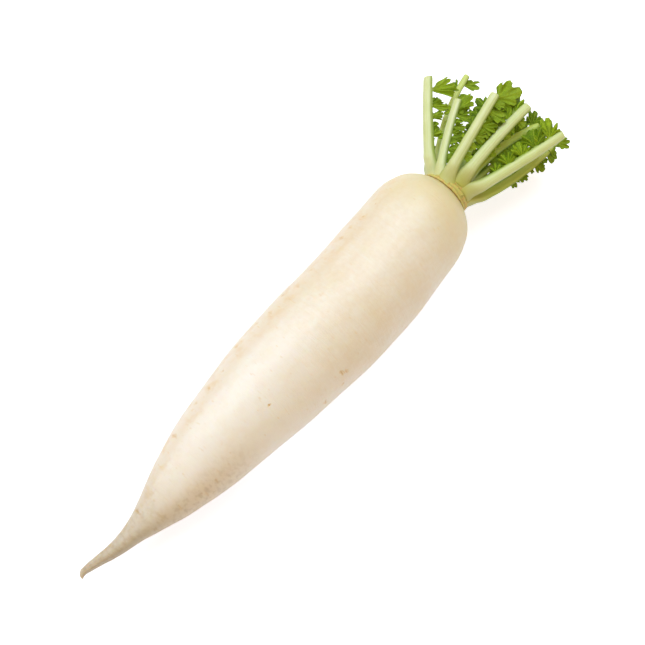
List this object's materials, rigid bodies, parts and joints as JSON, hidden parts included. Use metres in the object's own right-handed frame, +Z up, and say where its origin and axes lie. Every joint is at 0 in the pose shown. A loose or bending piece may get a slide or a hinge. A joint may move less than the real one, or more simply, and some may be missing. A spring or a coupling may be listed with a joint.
{
  "type": "daikon radish",
  "caption": "Whole white daikon radish lying on its side: a long tapering root, its short crown, and leaf stalks cut short with small lobed leaflets.",
  "frame": {"origin": "on the small flat spot under the thickest part of the root, which it lies on, close under the centre of mass", "axes": "+X from the tip of the tail to the crown and leaf stalks, +Z up from the surface that the root lies on, +Y to the left when looking along +X from above"},
  "size_m": [0.4352, 0.1036, 0.0786],
  "materials": {
    "root_skin": "smooth waxy root skin, satin",
    "crown_tissue": "dry yellow-tan leaf scars and scales, matt",
    "leaf_stalk": "fresh plant tissue: pale green ribbed stalks with darker leaflets, satin"
  },
  "bodies": {
    "root": {"taproot": "root_skin", "crown": "crown_tissue", "leaf_stalk_a": "leaf_stalk", "leaf_stalk_b": "leaf_stalk", "leaf_stalk_c": "leaf_stalk", "leaf_stalk_d": "leaf_stalk", "leaf_stalk_e": "leaf_stalk", "leaf_stalk_f": "leaf_stalk", "leaf_stalk_g": "leaf_stalk", "leaf_stalk_h": "leaf_stalk", "leaf_stalk_i": "leaf_stalk", "leaf_stalk_j": "leaf_stalk", "leaf_stalk_k": "leaf_stalk", "leaf_stalk_l": "leaf_stalk", "leaf_stalk_m": "leaf_stalk", "leaf_stalk_n": "leaf_stalk", "leaf_stalk_o": "leaf_stalk"}
  },
  "joints": []
}
